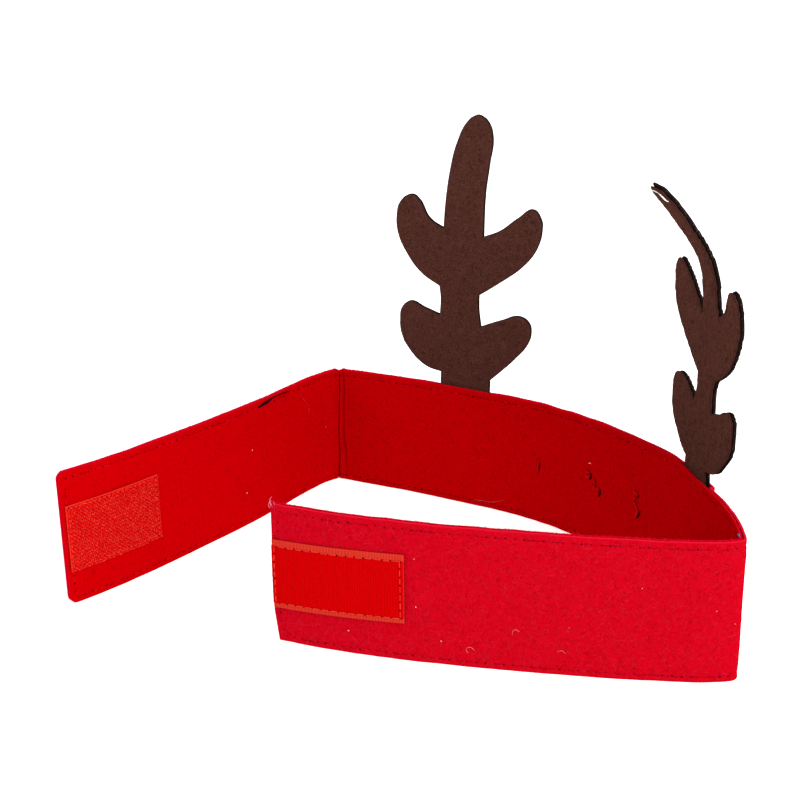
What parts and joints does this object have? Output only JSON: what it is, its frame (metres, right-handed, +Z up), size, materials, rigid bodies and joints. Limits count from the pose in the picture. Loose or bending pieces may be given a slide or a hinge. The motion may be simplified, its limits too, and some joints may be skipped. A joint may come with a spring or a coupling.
{
  "type": "reindeer antler headband",
  "caption": "Open felt headband with two flat branching antlers and a hook-and-loop fastening at its ends.",
  "frame": {"origin": "middle of the bounding box, at the band's lower edge", "axes": "+Z up; +X along the longer side of the band's outline, towards the rounded corner; +Y from the loop end's panel towards the back of the head"},
  "size_m": [0.2716, 0.191, 0.1884],
  "materials": {
    "red_felt_inner": "matte felt",
    "red_felt_outer": "matte felt with loose fibres",
    "hook_tape": "stiff plastic hooks on a woven tape",
    "loop_tape": "soft loops on a woven tape",
    "brown_felt": "matte felt",
    "dark_core": "stiff dark felt with pale specks"
  },
  "bodies": {
    "root": {"inner_band": "red_felt_inner", "outer_band": "red_felt_outer", "hook_patch": "hook_tape", "loop_patch": "loop_tape", "left_antler_felt": "brown_felt", "left_antler_core": "dark_core", "right_antler_felt": "brown_felt", "right_antler_core": "dark_core"}
  },
  "joints": []
}
